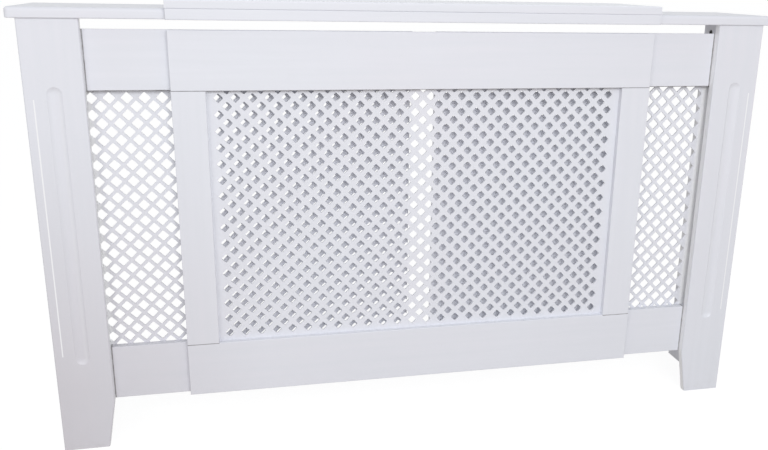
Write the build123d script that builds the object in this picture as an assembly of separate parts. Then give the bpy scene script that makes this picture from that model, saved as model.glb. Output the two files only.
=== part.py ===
from build123d import *
import os

# Extending radiator cover: two end units that slide sideways behind a centre frame.
# Millimetres, +Z up, front facing -Y, the wall behind at +Y.
# The origin is on the floor, in the middle of the overall width and depth.

# ---------------------------------------------------------------- driving dimensions
overall_height = 820.0
leg_span = 1360.0              # outside of one leg to outside of the other, as set
body_depth = 190.0             # front face of the legs to the wall
unit_gap = 46.0                # between the inner ends of the two end units, as set

board = 15.0                   # legs, side panels, rails and stiles
end_shelf_thickness = 18.0
centre_shelf_thickness = 15.0
lip_thickness = 15.0
shelf_front_overhang = 5.0
shelf_end_overhang = 15.0

leg_width = 96.0
leg_edge_round = 2.5
foot_taper = 16.0              # the inner edge of the foot runs in by this much
flute_width = 25.0
flute_depth = 4.0
flute_top_gap = 111.0          # shelf to the upper end of the flute
flute_bottom_gap = 172.0       # floor to the lower end of the flute

rail_height = 103.0
rail_top_gap = 17.0            # open slot between the shelves and the top rails
rail_floor_gap = 93.0          # open space under the bottom rails

centre_frame_width = 894.0
stile_width = 58.0

grille_sheet = 3.5
grille_lap = 14.0              # the end grilles lap onto the backs of their rails
rebate_width = 10.0            # step in the back of the centre frame for its grille
lattice_pitch = 58.4           # corner-to-corner pitch of the diamond openings
lattice_bar = 17.3             # solid bar between two neighbouring openings
lattice_border = 19.0          # plain border of the centre grille inside its stiles
lattice_margin = 4.0           # plain margin above and below the openings

guide_length = 880.0
guide_grille_gap = 7.5         # between a guide and the end grilles above or below it
guide_thickness = 12.0
tongue_height = 12.0
tongue_depth = 4.0
spacer_width = 26.0
groove_end_room = 20.0         # groove left past the guide when the units are pushed in

dowel_diameter = 8.0
dowel_length = 28.0
dowel_seat = 10.0              # depth in the board that is met face on
frame_dowel_diameter = 6.0
frame_dowel_length = 36.0
lip_dowel_length = 20.0
dowel_end_room = 1.0           # air at the bottom of each dowel hole

shelf_edge_round = 6.0
shelf_corner_round = 8.0
shelf_under_bevel = 2.0
eased_edge = 1.5

cam_diameter = 12.0            # round cams in the side panels that pull the shelf down
cam_depth = 10.5
cam_drop = 24.0                # underside of the shelf to the middle of a cam
cam_back_gap = 26.0            # wall to the middle of the rear cam
cam_front_gap = 40.0           # back of the leg to the middle of the front cam
cam_bolt_diameter = 6.0
cam_bolt_seat = 11.0           # depth of a cam bolt in the shelf

screw_diameter = 3.5
screw_head_diameter = 7.0
screw_head_height = 2.2
guide_screw_grip = 9.0         # length of a guide screw in the centre rail
guide_screw_spacing = 36.0
pin_sides = 6                  # dowels, screws and their holes are drawn with flats

slide_gap = 0.3                # between faces that slide past each other
fit_gap = 0.1                  # round a dowel or a screw in its hole, on the radius
grille_gap = 0.5               # round the centre grille in its rebate

# ---------------------------------------------------------------- places that follow
overall_depth = body_depth + shelf_front_overhang + slide_gap + lip_thickness
wall_y = overall_depth / 2
leg_front_y = wall_y - body_depth
leg_back_y = leg_front_y + board
rail_front_y = leg_back_y
rail_back_y = rail_front_y + board
frame_back_y = rail_front_y - slide_gap
frame_front_y = frame_back_y - board
guide_front_y = rail_back_y + slide_gap
guide_back_y = guide_front_y + guide_thickness
guide_screw_length = guide_back_y - screw_head_height - frame_back_y + guide_screw_grip
shelf_front_y = leg_front_y - shelf_front_overhang
lip_front_y = -overall_depth / 2
lip_back_y = lip_front_y + lip_thickness

centre_shelf_bottom = overall_height - centre_shelf_thickness
end_shelf_top = centre_shelf_bottom - slide_gap
leg_height = end_shelf_top - end_shelf_thickness
top_rail_top = leg_height - rail_top_gap
top_rail_bottom = top_rail_top - rail_height
bottom_rail_top = rail_floor_gap + rail_height

outer_x = leg_span / 2
panel_inner_x = outer_x - board
leg_inner_x = outer_x - leg_width
leg_middle_x = outer_x - leg_width / 2
panel_middle_x = outer_x - board / 2
unit_inner_x = unit_gap / 2
frame_half = centre_frame_width / 2
stile_inner_x = frame_half - stile_width
guide_height = rail_height - 2 * (grille_lap + guide_grille_gap)
rail_middle_y = (rail_front_y + rail_back_y) / 2
frame_middle_y = (frame_front_y + frame_back_y) / 2


def block(x0, x1, y0, y1, z0, z1):
    """A board given by its low and high corners."""
    return Pos((x0 + x1) / 2, (y0 + y1) / 2, (z0 + z1) / 2) * Box(x1 - x0, y1 - y0, z1 - z0)


def pin(start, direction, radius, length):
    """A many-sided pin from a start point along a direction."""
    section = Plane(origin=start, z_dir=direction) * RegularPolygon(radius, pin_sides)
    return extrude(section, length)


def pins(joints, radius):
    """One pin for each start point, direction and length."""
    return [pin(start, direction, radius, length) for start, direction, length in joints]


def screw(start, direction, shank_length):
    """A screw whose head lies before the start point and its shank beyond it."""
    back = tuple(s - d * screw_head_height for s, d in zip(start, direction))
    head = pin(back, direction, screw_head_diameter / 2, screw_head_height)
    return head + pin(start, direction, screw_diameter / 2, shank_length)


def outline_xz(points, y0, y1):
    """A board cut to an outline drawn on the front view."""
    face = Plane.XZ * make_face(Polyline(*points, close=True))
    return Pos(0, y1, 0) * extrude(face, y1 - y0)


def on_side(shape, side):
    """The right-hand shape, or its mirror image for the left."""
    return shape if side > 0 else mirror(shape, about=Plane.YZ)


def cut_holes(board_shape, joints, radius, room):
    """Bore a board for every dowel that enters it."""
    for start, direction, length in joints:
        back = tuple(s - d * room for s, d in zip(start, direction))
        board_shape -= pin(back, direction, radius + fit_gap, length + 2 * room)
    return board_shape


# ---------------------------------------------------------------- dowel positions
def unit_dowels():
    """Dowels of one end unit, as start point, direction and length."""
    along_x = (1, 0, 0)
    along_y = (0, 1, 0)
    joints = []
    for rail_bottom in (rail_floor_gap, top_rail_bottom):
        start = (panel_middle_x, leg_back_y - dowel_seat, rail_bottom + rail_height / 2)
        joints.append((start, along_y, dowel_length))
    for rail_bottom in (rail_floor_gap, top_rail_bottom):
        for share in (0.25, 0.75):
            reach = dowel_length - dowel_seat
            start = (panel_inner_x - reach, rail_middle_y, rail_bottom + share * rail_height)
            joints.append((start, along_x, dowel_length))
    return joints


def frame_dowels():
    """Two dowels where each stile meets each rail of the centre frame."""
    joints = []
    for side in (-1, 1):
        for share in (0.25, 0.65):
            x = side * (frame_half - share * stile_width)
            for seam in (bottom_rail_top, top_rail_bottom):
                start = (x, frame_middle_y, seam - frame_dowel_length / 2)
                joints.append((start, (0, 0, 1), frame_dowel_length))
    return joints


def lip_dowels():
    """Dowels that hold the front lip under the centre shelf."""
    joints = []
    for share in (-0.3, 0.3):
        x = share * centre_frame_width
        start = (x, lip_front_y + lip_thickness / 2, centre_shelf_bottom - lip_dowel_length / 2)
        joints.append((start, (0, 0, 1), lip_dowel_length))
    return joints


# ---------------------------------------------------------------- end units
def leg():
    """Front leg: a flat board with a tapered foot and one round-ended flute."""
    points = [
        (outer_x, 0),
        (outer_x, leg_height),
        (leg_inner_x, leg_height),
        (leg_inner_x, rail_floor_gap),
        (leg_inner_x + foot_taper, 0),
    ]
    shape = outline_xz(points, leg_front_y, leg_back_y)
    edges = shape.faces().sort_by(Axis.Y)[0].edges()
    upright = [edge for edge in edges if edge.bounding_box().size.Z > edge.bounding_box().size.X]
    shape = fillet(upright, leg_edge_round)
    cutter_radius = (flute_width ** 2 / 4 + flute_depth ** 2) / (2 * flute_depth)
    cutter_y = leg_front_y + flute_depth - cutter_radius
    low = flute_bottom_gap + flute_width / 2
    high = leg_height - flute_top_gap - flute_width / 2
    shape -= Pos(leg_middle_x, cutter_y, (low + high) / 2) * Cylinder(cutter_radius, high - low)
    for height in (low, high):
        shape -= Pos(leg_middle_x, cutter_y, height) * Sphere(cutter_radius)
    return cut_holes(shape, unit_dowels()[:2], dowel_diameter / 2, dowel_end_room)


def cam_places():
    """Middles of the two cams, on the inner face of the side panel."""
    depths = (leg_back_y + cam_front_gap, wall_y - cam_back_gap)
    return [(panel_inner_x, depth, leg_height - cam_drop) for depth in depths]


def cam_bolts():
    """Bolts that run from the cams up into the shelf."""
    reach = cam_drop + cam_bolt_seat
    return [((panel_middle_x, y, z), (0, 0, 1), reach) for x, y, z in cam_places()]


def cams():
    """Round cams set flush in the side panel, each hollow where its bolt enters."""
    solids = []
    for x, y, z in cam_places():
        disc = Cylinder(cam_diameter / 2, cam_depth, rotation=(0, 90, 0))
        disc = Pos(x + cam_depth / 2, y, z) * disc
        solids.append(cut_holes(disc, cam_bolts(), cam_bolt_diameter / 2, dowel_end_room))
    return solids


def side_panel():
    """End board that stands on the floor behind the leg."""
    shape = block(panel_inner_x, outer_x, leg_back_y, wall_y, 0, leg_height)
    for place in cam_places():
        depth = cam_depth + dowel_end_room
        pocket = Cylinder(cam_diameter / 2 + fit_gap, depth, rotation=(0, 90, 0))
        shape -= Pos(panel_inner_x + depth / 2, place[1], place[2]) * pocket
    shape = cut_holes(shape, cam_bolts(), cam_bolt_diameter / 2, dowel_end_room)
    return cut_holes(shape, unit_dowels(), dowel_diameter / 2, dowel_end_room)


def end_rail(z0):
    """Rail behind the leg, grooved at the back for the tongue of the guide."""
    shape = block(unit_inner_x, panel_inner_x, rail_front_y, rail_back_y, z0, z0 + rail_height)
    middle = z0 + rail_height / 2
    half = tongue_height / 2 + slide_gap
    groove_end = guide_length / 2 + groove_end_room
    shape -= block(unit_inner_x - 1, groove_end, rail_back_y - tongue_depth - slide_gap,
                   rail_back_y + 1, middle - half, middle + half)
    return cut_holes(shape, unit_dowels()[2:], dowel_diameter / 2, dowel_end_room)


def diamond_sheet(x0, x1, z0, z1, open_x0, open_x1, open_z0, open_z1):
    """A thin sheet pierced by staggered square openings that stand on a corner."""
    opening = lattice_pitch / 2 ** 0.5 - lattice_bar
    reach = opening / 2 ** 0.5
    half = lattice_pitch / 2
    sheet = Pos((x0 + x1) / 2, (z0 + z1) / 2) * Rectangle(x1 - x0, z1 - z0)
    middle_x = (open_x0 + open_x1) / 2
    middle_z = (open_z0 + open_z1) / 2
    across = int((open_x1 - open_x0 - 2 * reach) / 2 / half)
    up = int((open_z1 - open_z0 - 2 * reach) / 2 / half)
    places = []
    for i in range(-across, across + 1):
        for j in range(-up, up + 1):
            if (i + j) % 2 == 0:
                places.append((middle_x + i * half, middle_z + j * half))
    diamond = Rot(0, 0, 45) * Rectangle(opening, opening)
    holes = [Pos(x, z) * diamond for x, z in places]
    return extrude(Plane.XZ * (sheet - holes), grille_sheet)


def end_grille():
    """Perforated sheet on the backs of the two rails of an end unit."""
    sheet = diamond_sheet(
        unit_inner_x, panel_inner_x, bottom_rail_top - grille_lap, top_rail_bottom + grille_lap,
        unit_inner_x + lattice_margin, leg_inner_x + lattice_margin,
        bottom_rail_top + lattice_margin, top_rail_bottom - lattice_margin)
    return Pos(0, rail_back_y + grille_sheet, 0) * sheet


def end_shelf():
    """Shelf of an end unit, rounded along its front and outer edges."""
    shelf_outer_x = outer_x + shelf_end_overhang
    shape = block(unit_inner_x, shelf_outer_x, shelf_front_y, wall_y, leg_height, end_shelf_top)
    corner = shape.edges().filter_by(Axis.Z).group_by(Axis.Y)[0].sort_by(Axis.X)[-1]
    shape = fillet(corner, shelf_corner_round)
    shape = fillet(outer_rim(shape, end_shelf_top), shelf_edge_round)
    shape = chamfer(outer_rim(shape, leg_height), shelf_under_bevel)
    return cut_holes(shape, cam_bolts(), cam_bolt_diameter / 2, dowel_end_room)


def outer_rim(shape, level):
    """The front, corner and outer edges of an end shelf at one height."""
    rim = [edge for edge in shape.edges() if edge.bounding_box().size.Z < 0.01]
    rim = [edge for edge in rim if abs(edge.center().Z - level) < 0.01]
    rim = [edge for edge in rim if edge.center().Y < wall_y - 1]
    return [edge for edge in rim if edge.center().X > unit_inner_x + 1]


# ---------------------------------------------------------------- centre unit
def centre_rail(z0, rebate_low, rebate_high):
    """Full-width rail of the centre frame, stepped at the back for the grille."""
    shape = block(-frame_half, frame_half, frame_front_y, frame_back_y, z0, z0 + rail_height)
    reach = stile_inner_x + rebate_width
    shape -= block(-reach, reach, frame_back_y - grille_sheet, frame_back_y + 1,
                   rebate_low, rebate_high)
    shape = cut_holes(shape, frame_dowels(), frame_dowel_diameter / 2, dowel_end_room)
    return bore_for_guide_screws(shape, z0 + rail_height / 2)


def stile(side):
    """Upright of the centre frame between its rails, stepped for the grille."""
    shape = block(stile_inner_x, frame_half, frame_front_y, frame_back_y,
                  bottom_rail_top, top_rail_bottom)
    shape -= block(stile_inner_x - 1, stile_inner_x + rebate_width,
                   frame_back_y - grille_sheet, frame_back_y + 1,
                   bottom_rail_top - 1, top_rail_bottom + 1)
    return cut_holes(on_side(shape, side), frame_dowels(), frame_dowel_diameter / 2, dowel_end_room)


def centre_grille():
    """Perforated sheet that lies in the stepped back of the centre frame."""
    reach = stile_inner_x + rebate_width - grille_gap
    lap = rebate_width - grille_gap
    open_x = stile_inner_x - lattice_border
    sheet = diamond_sheet(
        -reach, reach, bottom_rail_top - lap, top_rail_bottom + lap, -open_x, open_x,
        bottom_rail_top + lattice_margin, top_rail_bottom - lattice_margin)
    return Pos(0, frame_back_y, 0) * sheet


def centre_shelf():
    """Board that lies on both end shelves and bridges the gap between them."""
    shape = block(-frame_half, frame_half, lip_front_y, wall_y, centre_shelf_bottom, overall_height)
    front = shape.edges().filter_by(Axis.X).group_by(Axis.Y)[0].sort_by(Axis.Z)
    shape = fillet(front[-1], 2 * eased_edge)
    front = shape.edges().filter_by(Axis.X).group_by(Axis.Y)[0].sort_by(Axis.Z)
    shape = fillet(front[0], eased_edge)
    return cut_holes(shape, lip_dowels(), frame_dowel_diameter / 2, dowel_end_room)


def shelf_lip():
    """Strip under the front of the centre shelf that hides the end shelves' edges."""
    shape = block(-frame_half, frame_half, lip_front_y, lip_back_y, leg_height, centre_shelf_bottom)
    front = shape.edges().filter_by(Axis.X).group_by(Axis.Y)[0]
    shape = fillet(front, eased_edge)
    return cut_holes(shape, lip_dowels(), frame_dowel_diameter / 2, dowel_end_room)


def guide(middle):
    """Batten behind the end rails with a tongue that runs in their grooves."""
    half = guide_height / 2
    shape = block(-guide_length / 2, guide_length / 2, guide_front_y, guide_back_y,
                  middle - half, middle + half)
    for side in (-1, 1):
        inner = spacer_width / 2 + fit_gap
        tongue = block(inner, guide_length / 2, guide_front_y - tongue_depth, guide_front_y,
                       middle - tongue_height / 2, middle + tongue_height / 2)
        shape += on_side(tongue, side)
    for start, direction in guide_screws(middle):
        back = (start[0], guide_back_y, start[2])
        shape -= pin(back, direction, screw_head_diameter / 2 + fit_gap, screw_head_height)
    return bore_for_guide_screws(shape, middle)


def spacer(middle):
    """Block that holds the guide one rail thickness behind the centre rail."""
    half = guide_height / 2
    shape = block(-spacer_width / 2, spacer_width / 2, frame_back_y, guide_front_y,
                  middle - half, middle + half)
    return bore_for_guide_screws(shape, middle)


def guide_screws(middle):
    """Seats and directions of the two sunk screws through a guide and its spacer."""
    half = guide_screw_spacing / 2
    seat_y = guide_back_y - screw_head_height
    return [((0, seat_y, middle + offset), (0, -1, 0)) for offset in (-half, half)]


def bore_for_guide_screws(shape, middle):
    """Holes for the shanks of the screws that join guide, spacer and centre rail."""
    for start, direction in guide_screws(middle):
        length = guide_screw_length + dowel_end_room
        shape -= pin(start, direction, screw_diameter / 2 + fit_gap, length)
    return shape


def save(shapes, name):
    """Write one sub-part; a list of solids stays a group in one file."""
    shape = Compound(children=list(shapes)) if isinstance(shapes, list) else shapes
    export_step(shape, os.path.join("parts", name + ".step"))


def build():
    """Make every sub-part and write it."""
    os.makedirs("parts", exist_ok=True)
    lower = rail_floor_gap + rail_height / 2
    upper = top_rail_bottom + rail_height / 2
    for side, hand in ((-1, "left"), (1, "right")):
        unit = {
            "leg": leg(),
            "side_panel": side_panel(),
            "top_rail": end_rail(top_rail_bottom),
            "bottom_rail": end_rail(rail_floor_gap),
            "grille": end_grille(),
            "shelf": end_shelf(),
            "cams": cams(),
            "cam_bolts": pins(cam_bolts(), cam_bolt_diameter / 2),
            "dowels": pins(unit_dowels(), dowel_diameter / 2),
        }
        for name, shape in unit.items():
            if isinstance(shape, list):
                save([on_side(solid, side) for solid in shape], hand + "_" + name)
            else:
                save(on_side(shape, side), hand + "_" + name)
        save(stile(side), "centre_" + hand + "_stile")
    save(centre_rail(top_rail_bottom, top_rail_bottom - 1, top_rail_bottom + rebate_width),
         "centre_top_rail")
    save(centre_rail(rail_floor_gap, bottom_rail_top - rebate_width, bottom_rail_top + 1),
         "centre_bottom_rail")
    save(centre_grille(), "centre_grille")
    save(centre_shelf(), "centre_shelf")
    save(shelf_lip(), "centre_shelf_lip")
    for name, middle in (("upper", upper), ("lower", lower)):
        save(guide(middle), name + "_guide")
        save(spacer(middle), name + "_guide_spacer")
        save([screw(start, way, guide_screw_length) for start, way in guide_screws(middle)],
             name + "_guide_screws")
    for name, joints in (("frame", frame_dowels()), ("lip", lip_dowels())):
        save(pins(joints, frame_dowel_diameter / 2), "centre_" + name + "_dowels")


build()
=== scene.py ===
import math

import bmesh
import bpy
from mathutils import Matrix, Vector


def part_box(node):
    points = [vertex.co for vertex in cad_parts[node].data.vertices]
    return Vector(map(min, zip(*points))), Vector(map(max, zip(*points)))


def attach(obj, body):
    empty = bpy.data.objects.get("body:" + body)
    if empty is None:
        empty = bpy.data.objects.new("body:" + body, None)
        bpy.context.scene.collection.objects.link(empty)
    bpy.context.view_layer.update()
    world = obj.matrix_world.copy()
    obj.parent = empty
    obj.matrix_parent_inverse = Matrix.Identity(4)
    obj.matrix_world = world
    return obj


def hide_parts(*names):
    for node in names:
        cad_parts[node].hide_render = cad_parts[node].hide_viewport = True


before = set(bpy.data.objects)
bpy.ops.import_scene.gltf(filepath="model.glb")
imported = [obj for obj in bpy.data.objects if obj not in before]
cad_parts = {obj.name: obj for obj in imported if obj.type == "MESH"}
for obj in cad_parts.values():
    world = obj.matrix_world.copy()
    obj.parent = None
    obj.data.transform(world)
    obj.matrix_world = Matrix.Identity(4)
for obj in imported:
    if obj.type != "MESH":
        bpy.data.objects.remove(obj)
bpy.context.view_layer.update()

MM = 0.001
TOUCH = 0.5 * MM                    # a point this near a face lies on it
scene = bpy.context.scene


# ---------------------------------------------------------------- materials
class Graph:
    """A short way to write node graphs."""

    def __init__(self, tree):
        self.tree = tree

    def node(self, kind, **values):
        """A node whose values are its settings or, with _ for a space, its inputs."""
        made = self.tree.nodes.new(kind)
        for key, value in values.items():
            if hasattr(made, key):
                setattr(made, key, value)
            else:
                made.inputs[key.replace("_", " ")].default_value = value
        return made

    def link(self, source, target):
        self.tree.links.new(source, target)

    def noise(self, coord, scale, detail=2.0, roughness=0.5, stretch=None):
        if stretch is not None:
            mapping = self.node("ShaderNodeMapping")
            mapping.inputs["Scale"].default_value = stretch
            self.link(coord, mapping.inputs["Vector"])
            coord = mapping.outputs["Vector"]
        made = self.node("ShaderNodeTexNoise", Scale=scale, Detail=detail, Roughness=roughness)
        self.link(coord, made.inputs["Vector"])
        return made.outputs["Fac"]

    def ranged(self, value, low, high, to_low, to_high):
        made = self.node("ShaderNodeMapRange", From_Min=low, From_Max=high,
                         To_Min=to_low, To_Max=to_high)
        self.link(value, made.inputs["Value"])
        return made.outputs["Result"]

    def within(self, value, low, high, soft=0.3 * MM):
        """1 between two values and 0 outside them, with soft ends."""
        rise = self.ranged(value, low - soft, low + soft, 0.0, 1.0)
        fall = self.ranged(value, high - soft, high + soft, 1.0, 0.0)
        return self.times(rise, fall)

    def mix(self, factor, first, second):
        made = self.node("ShaderNodeMix", data_type="RGBA")
        a, b = made.inputs[6], made.inputs[7]
        for socket, value in ((a, first), (b, second)):
            if isinstance(value, tuple):
                socket.default_value = (*value, 1.0)
            else:
                self.link(value, socket)
        self.link(factor, made.inputs[0])
        return made.outputs[2]

    def math(self, operation, first, second):
        made = self.node("ShaderNodeMath", operation=operation)
        for socket, value in zip(made.inputs, (first, second)):
            if isinstance(value, (int, float)):
                socket.default_value = value
            else:
                self.link(value, socket)
        return made.outputs[0]

    def times(self, first, *others):
        for other in others:
            first = self.math("MULTIPLY", first, other)
        return first

    def bump(self, height, distance, strength, before=None):
        made = self.node("ShaderNodeBump", Distance=distance, Strength=strength)
        self.link(height, made.inputs["Height"])
        if before is not None:
            self.link(before, made.inputs["Normal"])
        return made.outputs["Normal"]


def new_material(name):
    material = bpy.data.materials.new(name)
    material.use_nodes = True
    graph = Graph(material.node_tree)
    shader = material.node_tree.nodes["Principled BSDF"]
    coord = graph.node("ShaderNodeTexCoord").outputs["Object"]
    return material, graph, shader, coord


def shade(color, factor):
    return tuple(min(1.0, c * factor) for c in color)


WHITE = (0.800, 0.817, 0.870)
# Painted shade for the lower left corner.
PAINTED_SHADE = (0.600, 0.570, 0.600)
# Painted light for the shaded recesses.
PAINTED_LIGHT = (0.950, 0.955, 0.970)
SCUFFED = (0.46, 0.43, 0.40)
# Joint lines darkened with painted shade.
JOINT_SHADE = (0.10, 0.085, 0.08)
UPRIGHT = (70.0, 70.0, 3.5)         # streaks run along Z
LEVEL = (3.5, 70.0, 70.0)           # streaks run along X
EVEN = (30.0, 30.0, 30.0)

# Where the paint's tone changes, in metres. In all but SHADE_X, X counts outwards from the middle.
# Painted shade darkens the paint towards the lower left corner over these X and Z ranges.
SHADE_X, SHADE_Z = (-0.72, -0.30), (0.12, 0.62)
SCUFF_Z = (0.0, 0.025)
# Painted light: the paint is lighter in the pocket behind a leg's inner edge and on the side
# panels' inner faces, where shade falls.
LIGHT_FROM_X, LIGHT_TO_X = (0.576, 0.584), (0.605, 0.630)   # beside a leg's inner edge
LIGHT_Y = (-0.0835, -0.0815)                                # just behind the legs' front
LIGHT_FACE_X, LIGHT_FACE_Z = (0.664, 0.666), (0.19, 0.655)  # the side panels' inner faces
# Joint lines with painted shade in the corner where the rails meet the legs.
LEG_EDGE_X = (0.5820, 0.5842)                               # where the rails meet the legs


def satin_paint(name, streaks, color=WHITE, roughness=0.42, peel=0.35, lines=(), recess=False,
                lit_above=None):
    """Sprayed and rolled satin paint: faint clouding, roller streaks, orange peel, foot scuffs.

    Painted shade darkens it towards the lower left corner.
    lines holds thin dark lines where boards meet, joint lines darkened with painted shade in the
    crevice, each as strength and the ranges of X and Z in metres that it fills, X counted outwards
    from the middle.
    recess paints a lighter colour behind a leg's inner edge and behind the end grilles: painted
    light where their shade falls.
    The last argument is the height above which the top is painted lighter: a painted highlight.
    """
    material, g, shader, coord = new_material(name)
    place = g.node("ShaderNodeSeparateXYZ")
    g.link(coord, place.inputs[0])
    x, y, z = place.outputs
    outwards = g.math("ABSOLUTE", x, 0.0)

    clouds = g.noise(coord, 2.2, detail=4.0, roughness=0.6)
    warmer = (color[0] * 0.99, color[1] * 0.968, color[2] * 0.97)
    tone = g.mix(g.ranged(clouds, 0.35, 0.65, 0.0, 1.0), warmer, color)
    marks = g.noise(coord, 1.0, detail=3.0, roughness=0.55, stretch=streaks)
    tone = g.mix(g.ranged(marks, 0.3, 0.7, 0.0, 0.7), tone, shade(color, 0.955))
    specks = g.noise(coord, 430.0, detail=1.0)
    tone = g.mix(g.ranged(specks, 0.68, 0.8, 0.0, 0.35), tone, shade(color, 0.9))

    # Painted shade: the colour darkens towards the lower left corner.
    lower_left = g.times(g.ranged(x, *SHADE_X, 0.75, 0.0), g.ranged(z, *SHADE_Z, 1.0, 0.0))
    tone = g.mix(lower_left, tone, PAINTED_SHADE)
    near_floor = g.ranged(z, *SCUFF_Z, 1.0, 0.0)
    scuffs = g.ranged(g.noise(coord, 55.0, detail=5.0, roughness=0.7), 0.5, 0.8, 0.0, 0.22)
    tone = g.mix(g.times(near_floor, scuffs), tone, SCUFFED)
    if recess:
        # Painted light: lighter paint behind a leg's inner edge and on the side panels' inner faces
        # behind the end grilles, where shade falls.
        behind_leg = g.times(g.ranged(outwards, *LIGHT_FROM_X, 0.0, 1.0),
                             g.ranged(outwards, *LIGHT_TO_X, 1.0, 0.0),
                             g.ranged(y, *LIGHT_Y, 0.0, 1.0))
        tone = g.mix(behind_leg, tone, PAINTED_LIGHT)
        behind_grille = g.times(g.within(outwards, *LIGHT_FACE_X), g.within(z, *LIGHT_FACE_Z))
        tone = g.mix(behind_grille, tone, PAINTED_LIGHT)
    # Painted highlight: lighter paint on the top face above the given height.
    if lit_above is not None:
        above = g.ranged(z, lit_above - MM, lit_above, 0.0, 0.75)
        tone = g.mix(above, tone, shade(color, 1.16))
    # Thin dark lines where boards meet: joint lines with painted shade in the crevice and under the
    # rails.
    for strength, across, up in lines:
        ragged = g.ranged(g.noise(coord, 70.0, detail=3.0), 0.3, 0.7, 0.6 * strength, strength)
        tone = g.mix(g.times(g.within(outwards, *across), g.within(z, *up), ragged), tone, JOINT_SHADE)
    g.link(tone, shader.inputs["Base Color"])

    gloss = g.ranged(g.noise(coord, 24.0, detail=3.0), 0.3, 0.7, roughness - 0.05, roughness + 0.06)
    g.link(gloss, shader.inputs["Roughness"])
    fine = g.bump(g.noise(coord, 620.0, detail=2.0), 0.05 * MM, peel)
    rolled = g.noise(coord, 1.0, detail=2.0, stretch=tuple(6.0 * s for s in streaks))
    g.link(g.bump(rolled, 0.12 * MM, 0.30, fine), shader.inputs["Normal"])
    shader.inputs["Specular IOR Level"].default_value = 0.45
    shader.inputs["Coat Weight"].default_value = 0.12
    shader.inputs["Coat Roughness"].default_value = 0.22
    return material


def fibreboard(name, color):
    """Unpainted medium-density board: matted short fibres with darker flecks."""
    material, g, shader, coord = new_material(name)
    body = g.noise(coord, 90.0, detail=5.0, roughness=0.65)
    tone = g.mix(g.ranged(body, 0.35, 0.65, 0.0, 1.0), shade(color, 0.86), shade(color, 1.08))
    fibres = g.noise(coord, 1.0, detail=4.0, roughness=0.7, stretch=(240.0, 900.0, 900.0))
    tone = g.mix(g.ranged(fibres, 0.55, 0.75, 0.0, 0.55), tone, shade(color, 0.62))
    g.link(tone, shader.inputs["Base Color"])
    g.link(g.ranged(fibres, 0.3, 0.7, 0.78, 0.92), shader.inputs["Roughness"])
    g.link(g.bump(fibres, 0.12 * MM, 0.5), shader.inputs["Normal"])
    return material


def grained(name, color, shades, rough, relief, strength, metallic=0.0, **grain):
    """One noise that gives the tone between two shades, the roughness and a fine relief."""
    material, g, shader, coord = new_material(name)
    shader.inputs["Metallic"].default_value = metallic
    height = g.noise(coord, **grain)
    darker, lighter = (shade(color, factor) for factor in shades)
    tone = g.mix(g.ranged(height, 0.3, 0.7, 0.0, 1.0), darker, lighter)
    g.link(tone, shader.inputs["Base Color"])
    g.link(g.ranged(height, 0.3, 0.7, *rough), shader.inputs["Roughness"])
    g.link(g.bump(height, relief, strength), shader.inputs["Normal"])
    return material


upright_paint = satin_paint("paint_upright", UPRIGHT, recess=True)
level_paint = satin_paint("paint_level", LEVEL)
# The centre shelf's top carries a painted highlight.
shelf_paint = satin_paint("paint_centre_shelf", LEVEL, lit_above=0.8195)
# The dark lines on the rails are joint lines with painted shade beside the legs, under the top
# rails and where the stiles meet the bottom rail.
end_rail_paint = satin_paint("paint_end_rail", LEVEL, lines=(
    (0.85, LEG_EDGE_X, (0.09, 0.20)),
    (0.85, LEG_EDGE_X, (0.66, 0.78)),
    (0.85, (0.0, 0.60), (0.6662, 0.6682)),
))
centre_rail_paint = satin_paint("paint_centre_rail", LEVEL, lines=(
    (0.80, (0.0, 0.60), (0.6662, 0.6680)),
    (0.80, (0.389, 0.4475), (0.1945, 0.1962)),
))
lattice_paint = satin_paint("paint_lattice", EVEN, shade(WHITE, 1.01), roughness=0.5, peel=0.5,
                            recess=True)
bare_board = fibreboard("bare_fibreboard", (0.42, 0.28, 0.165))
beech = grained("beech", (0.50, 0.31, 0.17), (0.8, 1.1), (0.5, 0.68), 0.08 * MM, 0.4,
                scale=1.0, detail=4.0, roughness=0.6, stretch=(160.0, 900.0, 160.0))
zinc = grained("zinc", (0.62, 0.62, 0.63), (0.88, 1.05), (0.24, 0.42), 0.02 * MM, 0.3,
               metallic=1.0, scale=800.0, detail=3.0)
black_nylon = grained("black_nylon", (0.022, 0.022, 0.024), (0.8, 1.3), (0.42, 0.58), 0.03 * MM,
                      0.5, scale=1800.0, detail=2.0)


# ---------------------------------------------------------------- mesh helpers
def make_object(name, bm, material, body, node):
    """Turns a bmesh into an object that rides on a body and stands for a CAD node."""
    mesh = bpy.data.meshes.new(name)
    bm.to_mesh(mesh)
    bm.free()
    made = bpy.data.objects.new(name, mesh)
    scene.collection.objects.link(made)
    mesh.materials.append(material)
    finish_normals(made)
    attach(made, body)
    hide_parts(node)


def finish_normals(made):
    """Smooth shading across rounded edges, with large faces kept flat."""
    smooth_below = math.radians(32.0)
    bm = bmesh.new()
    bm.from_mesh(made.data)
    bmesh.ops.remove_doubles(bm, verts=bm.verts, dist=1e-6)
    bmesh.ops.recalc_face_normals(bm, faces=bm.faces)
    for face in bm.faces:
        face.smooth = True
    for edge in bm.edges:
        edge.smooth = len(edge.link_faces) == 2 and edge.calc_face_angle(0.0) < smooth_below
    bm.to_mesh(made.data)
    bm.free()
    weighted = made.modifiers.new("flat_faces", "WEIGHTED_NORMAL")
    weighted.keep_sharp = True
    weighted.weight = 80


def push(bm, faces, step):
    """Pulls a sheet of faces out into a closed solid."""
    pushed = bmesh.ops.extrude_face_region(bm, geom=faces)
    moved = [v for v in pushed["geom"] if isinstance(v, bmesh.types.BMVert)]
    bmesh.ops.translate(bm, vec=step, verts=moved)
    bmesh.ops.recalc_face_normals(bm, faces=bm.faces)


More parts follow.
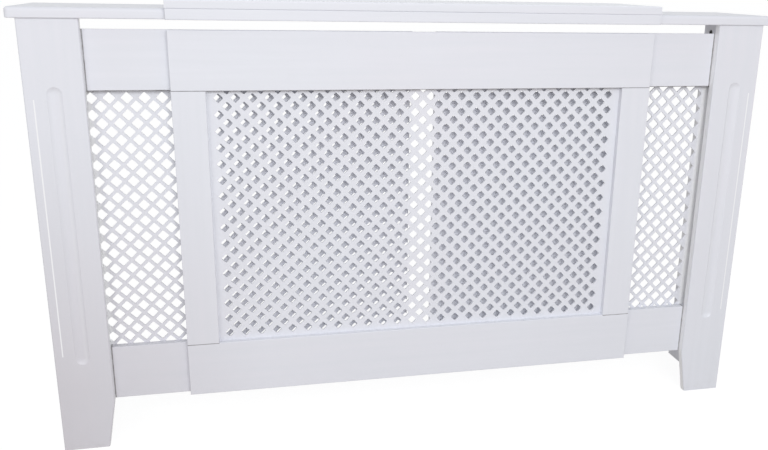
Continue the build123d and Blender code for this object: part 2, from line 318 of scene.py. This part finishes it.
def box_mesh(low, high):
    bm = bmesh.new()
    bmesh.ops.create_cube(bm, size=1.0)
    bmesh.ops.scale(bm, vec=Vector(high) - Vector(low), verts=bm.verts)
    bmesh.ops.translate(bm, vec=(Vector(high) + Vector(low)) / 2, verts=bm.verts)
    return bm


def prism_mesh(points, axis, start, end):
    """An outline on the plane across an axis (0, 1 or 2), pushed along that axis."""
    first, second = (i for i in range(3) if i != axis)
    bm = bmesh.new()
    verts = []
    for a, b in points:
        co = [0.0, 0.0, 0.0]
        co[first], co[second], co[axis] = a, b, start
        verts.append(bm.verts.new(co))
    step = [0.0, 0.0, 0.0]
    step[axis] = end - start
    push(bm, [bm.faces.new(verts)], step)
    return bm


def lathe_mesh(profile, origin, direction, steps):
    """A closed turned shape: profile holds (radius, distance along the direction) pairs."""
    bm = bmesh.new()
    turn = Vector((0, 0, 1)).rotation_difference(Vector(direction)).to_matrix().to_4x4()
    place = Matrix.Translation(Vector(origin)) @ turn
    rings = []
    for radius, along in profile:
        angles = [2 * math.pi * k / steps for k in range(steps if radius > 0 else 1)]
        points = [Vector((radius * math.cos(t), radius * math.sin(t), along)) for t in angles]
        rings.append([bm.verts.new(place @ point) for point in points])
    for first, second in zip(rings, rings[1:]):
        for k in range(steps):
            n = (k + 1) % steps
            corners = [first[k % len(first)], first[n % len(first)],
                       second[n % len(second)], second[k % len(second)]]
            corners = list(dict.fromkeys(corners))
            if len(corners) > 2:
                bm.faces.new(corners)
    bmesh.ops.recalc_face_normals(bm, faces=bm.faces)
    return bm


def round_edges(bm, radius, chosen, segments=3, sharper_than=35.0):
    """Rounds the sharp edges that the test picks by their middle and direction."""
    picked = []
    for edge in bm.edges:
        if len(edge.link_faces) == 2 and edge.calc_face_angle(0.0) > math.radians(sharper_than):
            middle = (edge.verts[0].co + edge.verts[1].co) / 2
            along = (edge.verts[1].co - edge.verts[0].co).normalized()
            if chosen(middle, along):
                picked.append(edge)
    bmesh.ops.bevel(bm, geom=picked, offset=radius, segments=segments, profile=0.5,
                    affect="EDGES", clamp_overlap=True)


def runs(along, axis):
    """Whether an edge runs mainly along an axis; with no axis, any edge does."""
    return axis is None or abs(along[axis]) > 0.5


def in_front(low, axis=None):
    """A test for the edges of a board's front face."""
    return lambda middle, along: middle.y < low.y + TOUCH and runs(along, axis)


def at_back(high, axis=None):
    """A test for the edges of a board's back face."""
    return lambda middle, along: middle.y > high.y - TOUCH and runs(along, axis)


def cut(bm, *cutters):
    """Takes each cutter's volume out of a closed mesh."""
    mesh = bpy.data.meshes.new("work")
    bm.to_mesh(mesh)
    bm.free()
    work = bpy.data.objects.new("work", mesh)
    scene.collection.objects.link(work)
    for cutter in cutters:
        tool_mesh = bpy.data.meshes.new("tool")
        cutter.to_mesh(tool_mesh)
        cutter.free()
        tool = bpy.data.objects.new("tool", tool_mesh)
        scene.collection.objects.link(tool)
        step = work.modifiers.new("cut", "BOOLEAN")
        step.operation = "DIFFERENCE"
        step.solver = "EXACT"
        step.object = tool
        evaluated = work.evaluated_get(bpy.context.evaluated_depsgraph_get())
        result = bpy.data.meshes.new_from_object(evaluated)
        work.modifiers.clear()
        work.data = result
        bpy.data.objects.remove(tool)
    out = bmesh.new()
    out.from_mesh(work.data)
    bpy.data.objects.remove(work)
    return out


# ---------------------------------------------------------------- end units
FOOT_HEIGHT, FOOT_TAPER = 93 * MM, 16 * MM
FLUTE_HALF_WIDTH, FLUTE_DEPTH = 12.5 * MM, 4 * MM
FLUTE_BOTTOM_GAP, FLUTE_TOP_GAP = 172 * MM, 111 * MM
CAM_ROOM, CAM_POCKET_DEPTH = 0.3 * MM, 11.2 * MM
GROOVE_END, GROOVE_DEPTH, GROOVE_HALF = 460 * MM, 4.3 * MM, 6.3 * MM
RAIL_FALL = 1.3 * MM                # drop of the top rails' upper edge towards the back


def flute_cutter(middle_x, front_y, low, high):
    """A round-nosed trough cutter: a long lens-shaped bar with domed ends."""
    radius = (FLUTE_HALF_WIDTH ** 2 + FLUTE_DEPTH ** 2) / (2 * FLUTE_DEPTH)
    centre_y = front_y + FLUTE_DEPTH - radius
    arc_steps = 24
    turns = [math.pi / 2 * k / arc_steps for k in range(arc_steps + 1)]
    profile = [(0.0, low - radius)]
    profile += [(radius * math.sin(t), low - radius * math.cos(t)) for t in turns[1:]]
    profile += [(radius * math.cos(t), high + radius * math.sin(t)) for t in turns[:-1]]
    profile.append((0.0, high + radius))
    return lathe_mesh(profile, (middle_x, centre_y, 0.0), (0, 0, 1), 96)


def build_leg(side, hand):
    node = hand + "_leg"
    low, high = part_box(node)
    inner, outer = (low.x, high.x) if side > 0 else (high.x, low.x)
    points = [
        (outer, low.z), (outer, high.z), (inner, high.z),
        (inner, low.z + FOOT_HEIGHT), (inner + side * FOOT_TAPER, low.z),
    ]
    bm = prism_mesh(points, 1, low.y, high.y)
    round_edges(bm, 2.5 * MM, in_front(low, 2), 4)
    round_edges(bm, 0.6 * MM, at_back(high, 2), 2)
    bm = cut(bm, flute_cutter((low.x + high.x) / 2, low.y,
                              low.z + FLUTE_BOTTOM_GAP + FLUTE_HALF_WIDTH,
                              high.z - FLUTE_TOP_GAP - FLUTE_HALF_WIDTH))
    make_object(node + "_board", bm, upright_paint, hand + "_unit", node)


def cam_middles(side, hand):
    """Radius, height and depth along Y of a unit's two cams, and X of the face they lie in."""
    low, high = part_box(hand + "_cams")
    radius = (high.z - low.z) / 2
    face_x = low.x if side > 0 else high.x
    return radius, (high.z + low.z) / 2, (low.y + radius, high.y - radius), face_x


def build_side_panel(side, hand):
    low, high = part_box(hand + "_side_panel")
    bm = box_mesh(low, high)
    round_edges(bm, 1.0 * MM, at_back(high), 3)
    round_edges(bm, 0.8 * MM, lambda m, a: m.y > low.y + TOUCH and m.z < low.z + TOUCH, 2)
    radius, middle_z, depths, face_x = cam_middles(side, hand)
    wide, before = radius + CAM_ROOM, -2 * MM
    profile = [(0, before), (wide, before), (wide, CAM_POCKET_DEPTH), (0, CAM_POCKET_DEPTH)]
    bm = cut(bm, *(lathe_mesh(profile, (face_x, y, middle_z), (side, 0, 0), 48) for y in depths))
    make_object(hand + "_side_board", bm, upright_paint, hand + "_unit", hand + "_side_panel")


def rail_mesh(low, high, level):
    """A rail's board; the top rails' upper edges are planed to fall a little towards the back."""
    bm = box_mesh(low, high)
    if level == "top":
        for vert in bm.verts:
            if vert.co.z > high.z - TOUCH and vert.co.y > high.y - TOUCH:
                vert.co.z -= RAIL_FALL
    return bm


def build_end_rail(side, hand, level):
    """A rail with the groove at its back that the tongue of the guide runs in."""
    node = f"{hand}_{level}_rail"
    low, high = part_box(node)
    bm = rail_mesh(low, high, level)
    round_edges(bm, 1.2 * MM, in_front(low, 0), 3)
    round_edges(bm, 0.8 * MM, at_back(high, 0), 2)
    middle = (low.z + high.z) / 2
    near, far = (low.x - MM, GROOVE_END) if side > 0 else (-GROOVE_END, high.x + MM)
    groove = box_mesh((near, high.y - GROOVE_DEPTH, middle - GROOVE_HALF),
                      (far, high.y + MM, middle + GROOVE_HALF))
    make_object(node + "_board", cut(bm, groove), end_rail_paint, hand + "_unit", node)


def build_end_shelf(side, hand):
    """A shelf with a round corner, a rounded upper rim and an eased lower one."""
    node = hand + "_shelf"
    low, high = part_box(node)
    outer = high.x if side > 0 else low.x
    bm = box_mesh(low, high)

    def at_corner(m, a):
        return runs(a, 2) and abs(m.x - outer) < MM and m.y < low.y + MM

    def rim(level):
        def chosen(m, a):
            free = m.y < high.y - TOUCH and abs(m.x - outer) < high.x - low.x - TOUCH
            return free and abs(m.z - level) < 0.2 * MM and abs(a.z) < 0.1
        return chosen

    round_edges(bm, 8.0 * MM, at_corner, 8)
    round_edges(bm, 6.0 * MM, rim(high.z), 7, sharper_than=60.0)
    round_edges(bm, 2.0 * MM, rim(low.z), 3, sharper_than=60.0)
    make_object(node + "_board", bm, level_paint, hand + "_unit", node)


def build_cams(side, hand):
    """Round cam faces with a raised rim and a cross slot, one piece each."""
    low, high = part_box(hand + "_cams")
    length = high.x - low.x
    radius, middle_z, depths, face_x = cam_middles(side, hand)
    sunk, slot_depth, slot_long, slot_half = 0.4 * MM, 2.6 * MM, 3.4 * MM, 0.6 * MM
    profile = [
        (0, sunk), (radius - 1.8 * MM, sunk), (radius - 1.4 * MM, 0.0), (radius - 0.4 * MM, 0.0),
        (radius, sunk), (radius, length), (0, length),
    ]
    x0, x1 = sorted((face_x - side * MM, face_x + side * slot_depth))
    for place, y in zip(("front", "rear"), depths):
        bm = lathe_mesh(profile, (face_x, y, middle_z), (side, 0, 0), 48)
        slots = [box_mesh((x0, y - dy, middle_z - dz), (x1, y + dy, middle_z + dz))
                 for dy, dz in ((slot_long, slot_half), (slot_half, slot_long))]
        make_object(f"{hand}_cam_{place}", cut(bm, *slots), black_nylon, hand + "_unit",
                    hand + "_cams")


# ---------------------------------------------------------------- centre unit
def build_centre_shelf():
    low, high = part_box("centre_shelf")
    front = in_front(low, 0)
    bm = box_mesh(low, high)
    round_edges(bm, 3.0 * MM, lambda m, a: front(m, a) and m.z > high.z - TOUCH, 5)
    round_edges(bm, 1.2 * MM, lambda m, a: front(m, a) and m.z < low.z + TOUCH, 3)
    round_edges(bm, 1.0 * MM,
                lambda m, a: abs(abs(m.x) - high.x) < TOUCH and m.z > high.z - 4 * MM, 2)
    make_object("centre_shelf_board", bm, shelf_paint, "centre_unit", "centre_shelf")
    low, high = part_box("centre_shelf_lip")
    bm = box_mesh(low, high)
    round_edges(bm, 1.5 * MM, in_front(low), 3)
    make_object("centre_shelf_lip_board", bm, level_paint, "centre_unit", "centre_shelf_lip")


def build_centre_frame():
    """Rails and stiles with the step at their back that the centre lattice lies in."""
    low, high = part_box("centre_grille")
    room = 0.5 * MM
    step = ((low.x - room, low.y, low.z - room), (high.x + room, high.y + MM, high.z + room))
    for level in ("top", "bottom"):
        node = f"centre_{level}_rail"
        low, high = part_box(node)
        bm = rail_mesh(low, high, level)
        round_edges(bm, 1.4 * MM, in_front(low), 3)
        round_edges(bm, 0.8 * MM, at_back(high), 2)
        make_object(node + "_board", cut(bm, box_mesh(*step)), centre_rail_paint, "centre_unit",
                    node)
    for hand in ("left", "right"):
        node = f"centre_{hand}_stile"
        low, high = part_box(node)
        bm = box_mesh(low, high)
        round_edges(bm, 1.0 * MM, in_front(low, 2), 3)
        round_edges(bm, 0.8 * MM, at_back(high, 2), 2)
        make_object(node + "_board", cut(bm, box_mesh(*step)), upright_paint, "centre_unit", node)


def build_guides():
    """Battens behind the end rails, their tongues and their sunk cross-head screws."""
    tongue_depth, tongue_half, tongue_start = 4 * MM, 6 * MM, 13.1 * MM
    head_radius, head_depth, shank_radius = 3.5 * MM, 2.4 * MM, 1.9 * MM
    slot_long, slot_half, slot_depth = 1.9 * MM, 0.4 * MM, 1.8 * MM
    mouth, through = head_radius + 0.4 * MM, 20 * MM
    sink = [(0, -MM), (mouth, -MM), (mouth, 0.0), (shank_radius, head_depth),
            (shank_radius, through), (0, through)]
    for level in ("upper", "lower"):
        node = level + "_guide"
        low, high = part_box(node)
        front = low.y + tongue_depth
        middle = (low.z + high.z) / 2
        for x0, x1, part in ((low.x, -tongue_start, "left"), (tongue_start, high.x, "right")):
            bm = box_mesh((x0, low.y, middle - tongue_half), (x1, front, middle + tongue_half))
            round_edges(bm, 0.5 * MM, in_front(low), 1)
            make_object(f"{node}_tongue_{part}", bm, bare_board, "centre_unit", node)

        screw_low, screw_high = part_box(node + "_screws")
        length = screw_high.y - screw_low.y
        heights = (screw_low.z + head_radius, screw_high.z - head_radius)
        bm = box_mesh((low.x, front, low.z), high)
        round_edges(bm, 1.0 * MM, at_back(high), 2)
        bm = cut(bm, *(lathe_mesh(sink, (0, high.y, z), (0, -1, 0), 32) for z in heights))
        make_object(node + "_board", bm, bare_board, "centre_unit", node)

        screw = [(0, 0.25 * MM), (head_radius - 0.2 * MM, 0.25 * MM), (head_radius, 0.45 * MM),
                 (1.8 * MM, head_depth), (1.7 * MM, length - 3 * MM), (0.3 * MM, length),
                 (0, length)]
        for name, z in zip(("low", "high"), heights):
            bm = lathe_mesh(screw, (0, high.y, z), (0, -1, 0), 32)
            slots = [box_mesh((-dx, high.y - slot_depth, z - dz), (dx, high.y + MM, z + dz))
                     for dx, dz in ((slot_long, slot_half), (slot_half, slot_long))]
            make_object(f"{node}_screw_{name}", cut(bm, *slots), zinc, "centre_unit",
                        node + "_screws")


# ---------------------------------------------------------------- lattices
LATTICE_CORNER = 1.2 * MM           # length cut off each corner of an opening
LATTICE_BEVEL = 0.35 * MM
CENTRE_OPENING = 12.3 * MM


def lattice_mesh(low, high, centre, pitch, side, is_open):
    """A sheet pierced by squares on their corners, as diamond cells clipped to the sheet.

    side gives the openings' width at a place along X, and is_open says which cells are pierced.
    """
    hx, hz = pitch[0] / 2, pitch[1] / 2
    trim = LATTICE_CORNER / math.sqrt(2)
    turns = ((1, 0), (0, 1), (-1, 0), (0, -1))
    bm = bmesh.new()
    shared = {}

    def vert(x, z):
        key = (round(x * 1e7), round(z * 1e7))
        if key not in shared:
            shared[key] = bm.verts.new((x, low.y, z))
        return shared[key]

    def cell(i, j):
        x, z = centre[0] + i * hx, centre[1] + j * hz
        tips = [vert(centre[0] + (i + a) * hx, centre[1] + (j + b) * hz) for a, b in turns]
        if not is_open(x, z):
            bm.faces.new(tips)
            return
        reach = side(x) / math.sqrt(2)

        def beside(k, toward):
            """A point of the opening's outline, just off corner k towards another corner."""
            (a, b), (c, d) = turns[k % 4], turns[toward % 4]
            return vert(x + a * reach + (c - a) * trim, z + b * reach + (d - b) * trim)

        for k in range(4):
            start, end, before = beside(k, k + 1), beside(k + 1, k), beside(k, k - 1)
            bm.faces.new([tips[k], tips[(k + 1) % 4], end, start])
            bm.faces.new([tips[k], start, before])

    first_i = math.floor((low.x - centre[0]) / hx) - 1
    last_i = math.ceil((high.x - centre[0]) / hx) + 1
    first_j = math.floor((low.z - centre[1]) / hz) - 1
    last_j = math.ceil((high.z - centre[1]) / hz) + 1
    for i in range(first_i, last_i + 1):
        for j in range(first_j, last_j + 1):
            if (i + j) % 2 == 0:
                cell(i, j)
    for point, normal in (((low.x, 0, 0), (-1, 0, 0)), ((high.x, 0, 0), (1, 0, 0)),
                          ((0, 0, low.z), (0, 0, -1)), ((0, 0, high.z), (0, 0, 1))):
        geometry = bm.verts[:] + bm.edges[:] + bm.faces[:]
        bmesh.ops.bisect_plane(bm, geom=geometry, dist=1e-7, plane_co=point, plane_no=normal,
                               clear_outer=True)
    bmesh.ops.remove_doubles(bm, verts=bm.verts, dist=2e-6)
    push(bm, bm.faces[:], (0, high.y - low.y, 0))
    return bm


def build_lattice(hand, body, centre, pitch, side, is_open):
    node = hand + "_grille"
    bm = lattice_mesh(*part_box(node), centre, pitch, side, is_open)
    rim = [e for e in bm.edges
           if len(e.link_faces) == 2 and e.calc_face_angle(0.0) > math.radians(60)
           and abs((e.verts[1].co - e.verts[0].co).normalized().y) < 0.1]
    bmesh.ops.bevel(bm, geom=rim, offset=LATTICE_BEVEL, segments=1, profile=0.5,
                    affect="EDGES", clamp_overlap=True)
    make_object(hand + "_lattice", bm, lattice_paint, body, node)


def centre_opening(x):
    """The centre sheet's openings are the same everywhere."""
    return CENTRE_OPENING


def end_opening(x):
    """The end sheets' bars look finer in the strips beside the legs."""
    share = min(1.0, max(0.0, (abs(x) - 340 * MM) / (110 * MM)))
    return (13.2 + 2.0 * share) * MM


def build_lattices():
    """The three sheets, each with the middle of one opening and the pitch along X and Z."""
    middle = -1.35 * MM
    build_lattice("centre", "centre_unit", centre=(middle, 432.4 * MM),
                  pitch=(29.39 * MM, 29.47 * MM), side=centre_opening,
                  is_open=lambda x, z: abs(x - middle) < 369 * MM and z > 205 * MM)
    build_lattice("left", "left_unit", centre=(-521.95 * MM, 446.5 * MM),
                  pitch=(29.2 * MM, 29.47 * MM), side=end_opening,
                  is_open=lambda x, z: x > -582 * MM and z < 656 * MM)
    build_lattice("right", "right_unit", centre=(300.5 * MM, 441.8 * MM),
                  pitch=(29.75 * MM, 29.75 * MM), side=end_opening,
                  is_open=lambda x, z: x < 578 * MM)


def dress_kept_nodes():
    """Materials for the CAD nodes that no mesh piece stands for."""
    for name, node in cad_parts.items():
        if node.hide_render:
            continue
        material = bare_board
        if "dowels" in name:
            material = beech
        elif "bolts" in name:
            material = zinc
        node.data.materials.clear()
        node.data.materials.append(material)


# ---------------------------------------------------------------- stage, lights, camera
FLOOR_REACH = 40.0
FLOOR_COLOR = (0.58, 0.54, 0.51)    # the light that the floor gives back
SKY_COLOR = (0.97, 0.98, 1.0, 1.0)
SEEN_WHITE = (1.0, 1.0, 1.0)
GLOW_STRENGTH, GLOW_SHARE = 1.10, 0.80  # the floor's own white, over the shadow that it keeps
LAMP_COLOR = (0.975, 0.985, 1.0)


def seen_rays(g):
    """1 for rays that show the background itself, 0 for rays that carry its light."""
    path = g.node("ShaderNodeLightPath")
    total = g.math("MAXIMUM", path.outputs["Is Camera Ray"], path.outputs["Is Glossy Ray"])
    return g.math("MAXIMUM", total, path.outputs["Is Transmission Ray"])


def blend_shaders(g, factor, first, second, surface):
    blend = g.node("ShaderNodeMixShader")
    g.link(factor, blend.inputs[0])
    g.link(first.outputs[0], blend.inputs[1])
    g.link(second.outputs[0], blend.inputs[2])
    g.link(blend.outputs[0], surface)


def build_stage():
    """A floor that is seen as white and keeps a faint shadow."""
    r = FLOOR_REACH
    floor = prism_mesh([(-r, -r), (r, -r), (r, r), (-r, r)], 2, -0.02, 0.0)
    mesh = bpy.data.meshes.new("stage_floor")
    floor.to_mesh(mesh)
    floor.free()
    made = bpy.data.objects.new("stage_floor", mesh)
    scene.collection.objects.link(made)
    material = bpy.data.materials.new("stage_white")
    material.use_nodes = True
    tree = material.node_tree
    tree.nodes.remove(tree.nodes["Principled BSDF"])
    g = Graph(tree)
    seen = seen_rays(g)
    diffuse = g.node("ShaderNodeBsdfDiffuse")
    g.link(g.mix(seen, FLOOR_COLOR, SEEN_WHITE), diffuse.inputs["Color"])
    glow = g.node("ShaderNodeEmission", Color=(*SEEN_WHITE, 1.0), Strength=GLOW_STRENGTH)
    blend_shaders(g, g.times(seen, GLOW_SHARE), diffuse, glow,
                  tree.nodes["Material Output"].inputs["Surface"])
    mesh.materials.append(material)


def build_world(strength):
    world = bpy.data.worlds.new("world")
    scene.world = world
    world.use_nodes = True
    nodes = world.node_tree.nodes
    g = Graph(world.node_tree)
    soft = nodes["Background"]
    soft.inputs["Color"].default_value = SKY_COLOR
    soft.inputs["Strength"].default_value = strength
    white = g.node("ShaderNodeBackground", Color=(*SEEN_WHITE, 1.0), Strength=1.0)
    blend_shaders(g, seen_rays(g), soft, white, nodes["World Output"].inputs["Surface"])


def area_light(name, place, target, size, power):
    data = bpy.data.lights.new(name, "AREA")
    data.shape = "RECTANGLE"
    data.size, data.size_y = size
    data.energy = power
    data.color = LAMP_COLOR
    made = bpy.data.objects.new(name, data)
    made.location = place
    made.rotation_mode = "QUATERNION"
    made.rotation_quaternion = (Vector(target) - Vector(place)).to_track_quat("-Z", "Y")
    scene.collection.objects.link(made)


def build_camera():
    """The photograph's camera, from its fitted place and angles, and its lens in pixels."""
    width, height = 768, 450
    focal, centre_x, centre_y = 839.82, 428.69, 233.54
    yaw, pitch, roll = (math.radians(a) for a in (13.479, -16.757, 1.251))
    place = Vector((-0.34889, -1.58851, 0.85754))
    ahead = Vector((math.sin(yaw) * math.cos(pitch), math.cos(yaw) * math.cos(pitch),
                    math.sin(pitch)))
    right = Vector((math.cos(yaw), -math.sin(yaw), 0.0))
    up = right.cross(ahead)
    turned_right = math.cos(roll) * right + math.sin(roll) * up
    turned_up = -math.sin(roll) * right + math.cos(roll) * up
    data = bpy.data.cameras.new("camera")
    data.sensor_fit = "HORIZONTAL"
    data.sensor_width = 36.0
    data.lens = focal / width * data.sensor_width
    data.shift_x = (width / 2 - centre_x) / width
    data.shift_y = (centre_y - height / 2) / width
    data.clip_start, data.clip_end = 0.01, 200.0
    camera = bpy.data.objects.new("camera", data)
    rotation = Matrix((turned_right, turned_up, -ahead)).transposed()
    camera.matrix_world = Matrix.Translation(place) @ rotation.to_4x4()
    scene.collection.objects.link(camera)
    scene.camera = camera


for side, hand in ((-1, "left"), (1, "right")):
    build_leg(side, hand)
    build_side_panel(side, hand)
    for level in ("top", "bottom"):
        build_end_rail(side, hand, level)
    build_end_shelf(side, hand)
    build_cams(side, hand)
build_centre_shelf()
build_centre_frame()
build_lattices()
build_guides()
dress_kept_nodes()
build_stage()
build_world(strength=0.60)
area_light("key", place=(0.2, -2.9, 1.65), target=(0.0, 0.0, 0.65), size=(1.3, 1.1), power=34.0)
area_light("side", place=(-1.7, -2.7, 1.6), target=(0.1, 0.0, 0.7), size=(1.2, 1.1), power=13.0)
build_camera()
scene.view_settings.view_transform = "Standard"
